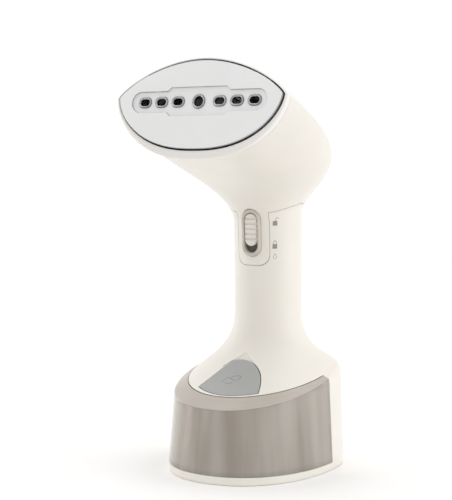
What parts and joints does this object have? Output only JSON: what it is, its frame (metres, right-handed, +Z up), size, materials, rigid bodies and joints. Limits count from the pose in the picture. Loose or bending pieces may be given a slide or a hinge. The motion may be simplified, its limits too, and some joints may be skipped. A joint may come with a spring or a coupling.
{
  "type": "garment steamer",
  "caption": "Hand-held garment steamer with a horn-shaped head, lens-shaped steam plate, round flared handle, clip-in translucent water tank and filler flap.",
  "frame": {"origin": "on the floor, under the middle of the object's box", "axes": "+Z up the handle, the steam plate faces -Y, +X to the left of a person facing the plate's front"},
  "size_m": [0.131, 0.1531, 0.2835],
  "materials": {
    "ivory_plastic": "satin moulded",
    "bezel_plastic": "satin moulded",
    "plate_coating": "satin ceramic-like coating",
    "eyelet_steel": "bright pressed",
    "tank_plastic": "smoked translucent",
    "warm_grey_plastic": "satin moulded",
    "cool_grey_plastic": "soft matt",
    "black_silicone": "matt",
    "foot_rubber": "matt",
    "cast_aluminium": "die cast",
    "bright_steel": "drawn",
    "barb_brass": "turned",
    "dark_plastic": "moulded",
    "white_plastic": "moulded",
    "coil_copper": null,
    "board_green": "solder resist",
    "clear_tube": "silicone tube"
  },
  "bodies": {
    "housing": {"handle_shell": "ivory_plastic", "head_shell": "ivory_plastic", "bottom_plate": "ivory_plastic", "face_bezel": "bezel_plastic", "soleplate": "plate_coating", "steam_eyelet_1": "eyelet_steel", "steam_eyelet_2": "eyelet_steel", "steam_eyelet_3": "eyelet_steel", "steam_eyelet_4": "eyelet_steel", "steam_eyelet_5": "eyelet_steel", "steam_eyelet_6": "eyelet_steel", "steam_eyelet_7": "eyelet_steel", "switch_frame": "warm_grey_plastic", "heat_shield": "black_silicone", "spigot_seal": "black_silicone", "funnel_seal": "black_silicone", "foot_1": "foot_rubber", "foot_2": "foot_rubber", "foot_3": "foot_rubber", "foot_4": "foot_rubber", "steam_chamber": "cast_aluminium", "chamber_cover": "cast_aluminium", "heating_element": "bright_steel", "trigger_spring": "bright_steel", "pump_spring": "bright_steel", "base_screw_1": "bright_steel", "base_screw_2": "bright_steel", "base_screw_3": "bright_steel", "base_screw_4": "bright_steel", "hose_barb": "barb_brass", "trigger_switch": "dark_plastic", "power_switch": "dark_plastic", "wire_loom": "dark_plastic", "thermostat": "white_plastic", "thermal_fuse": "white_plastic", "pump_body": "white_plastic", "pump_cap": "white_plastic", "tank_spigot": "white_plastic", "filler_funnel": "white_plastic", "cord_gland": "white_plastic", "pump_coil": "coil_copper", "control_board": "board_green", "water_hose": "clear_tube", "inlet_hose": "clear_tube"},
    "trigger": {"steam_trigger": "dark_plastic"},
    "lock": {"lock_slider": "warm_grey_plastic"},
    "power": {"power_button": "warm_grey_plastic", "button_lens": "clear_tube"},
    "flap": {"filler_flap": "cool_grey_plastic", "flap_seal": "black_silicone"},
    "tank": {"water_tank": "tank_plastic", "tank_valve": "white_plastic", "valve_spring": "bright_steel", "suction_tube": "clear_tube", "suction_filter": "bright_steel"},
    "poppet": {"valve_poppet": "black_silicone"},
    "plunger": {"pump_plunger": "bright_steel"}
  },
  "joints": [
    {"name": "trigger_press", "type": "slide", "parent": "housing", "child": "trigger", "axis": [0, 0.999, 0.0454], "range_m": [0, 0.0025], "stiffness_N_per_m": 500, "springref_m": -0.001, "deforming": ["trigger_spring"]},
    {"name": "lock_slide", "type": "slide", "parent": "trigger", "child": "lock", "axis": [0, 0.0454, -0.999], "range_m": [0, 0.0043]},
    {"name": "power_press", "type": "slide", "parent": "housing", "child": "power", "axis": [0, -1, 0], "range_m": [0, 0.0012], "stiffness_N_per_m": 900, "springref_m": -0.001},
    {"name": "flap_hinge", "type": "hinge", "parent": "housing", "child": "flap", "pos_m": [0, -0.0357, 0.05915], "axis": [1, 0, 0], "range_deg": [0, 80]},
    {"name": "tank_pull", "type": "slide", "parent": "housing", "child": "tank", "axis": [0, -1, 0], "range_m": [0, 0.07]},
    {"name": "valve_open", "type": "slide", "parent": "tank", "child": "poppet", "axis": [0, -1, 0], "range_m": [0, 0.002], "stiffness_N_per_m": 200, "springref_m": -0.002, "deforming": ["valve_spring"]},
    {"name": "pump_stroke", "type": "slide", "parent": "housing", "child": "plunger", "axis": [0, 0, -1], "range_m": [0, 0.003], "stiffness_N_per_m": 400, "springref_m": -0.002, "deforming": ["pump_spring"]}
  ]
}
